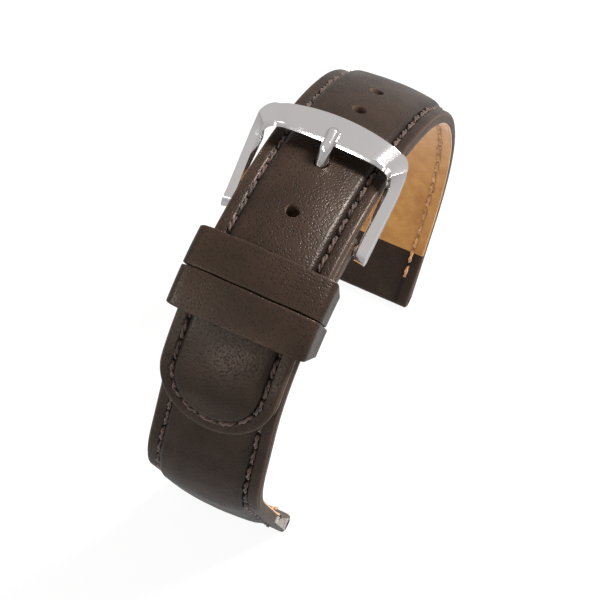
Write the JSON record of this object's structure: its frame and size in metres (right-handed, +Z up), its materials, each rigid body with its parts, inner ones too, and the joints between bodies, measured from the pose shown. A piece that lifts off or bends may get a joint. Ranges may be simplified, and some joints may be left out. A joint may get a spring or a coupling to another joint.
{
  "type": "watch strap",
  "caption": "Padded stitched leather watch strap with a pin buckle, fastened in its worn loop, with a fixed and a sliding keeper and a spring-bar tunnel at each lug end.",
  "frame": {"origin": "middle of the floor under the buckled strap, which stands on its two lug ends", "axes": "+X across the strap towards the wearer's side that the picture shows on the right, +Y from the front of the loop, where the tip lies, to the back, +Z up towards the buckle"},
  "size_m": [0.0208, 0.0722, 0.0675],
  "materials": {
    "brown_leather": "semi-gloss",
    "tan_lining": "matt nubuck",
    "keeper_lining": "matt",
    "padding": "matt felt",
    "board": "matt, painted at the cut edge",
    "thread": "waxed",
    "polished_steel": "polished",
    "brushed_bar": "turned"
  },
  "bodies": {
    "strap": {"long_upper": "brown_leather", "long_padding": "padding", "long_board": "board", "long_lining": "tan_lining", "long_stitching": "thread", "long_lining_stitching": "thread", "short_upper": "brown_leather", "short_padding": "padding", "short_board": "board", "short_lining": "tan_lining", "short_stitching": "thread", "short_lining_stitching": "thread", "fixed_keeper": "brown_leather", "fixed_keeper_lining": "keeper_lining", "bar_tube": "brushed_bar", "bar_spring": "brushed_bar"},
    "frame": {"buckle_frame": "polished_steel"},
    "tongue": {"buckle_tongue": "polished_steel"},
    "free_keeper_band": {"free_keeper": "brown_leather", "free_keeper_lining": "keeper_lining"},
    "plunger_left": {"bar_plunger_left": "brushed_bar"},
    "plunger_right": {"bar_plunger_right": "brushed_bar"}
  },
  "joints": [
    {"name": "buckle_rock", "type": "hinge", "parent": "strap", "child": "frame", "pos_m": [0, -0.01201, 0.05774], "axis": [1, 0, 0], "range_deg": [0, 2.5]},
    {"name": "tongue_rock", "type": "hinge", "parent": "frame", "child": "tongue", "pos_m": [0, -0.01201, 0.05774], "axis": [1, 0, 0], "range_deg": [0, 1.5]},
    {"name": "free_keeper_slide", "type": "hinge", "parent": "strap", "child": "free_keeper_band", "pos_m": [0, -0.01243, 0.03836], "axis": [1, 0, 0], "range_deg": [0, 28]},
    {"name": "plunger_left_slide", "type": "slide", "parent": "strap", "child": "plunger_left", "axis": [1, 0, 0], "range_m": [0, 0.00115], "stiffness_N_per_m": 800, "springref_m": -0.0005, "deforming": ["bar_spring"]},
    {"name": "plunger_right_slide", "type": "slide", "parent": "strap", "child": "plunger_right", "axis": [-1, 0, 0], "range_m": [0, 0.00115], "stiffness_N_per_m": 800, "springref_m": -0.0005, "deforming": ["bar_spring"]}
  ]
}
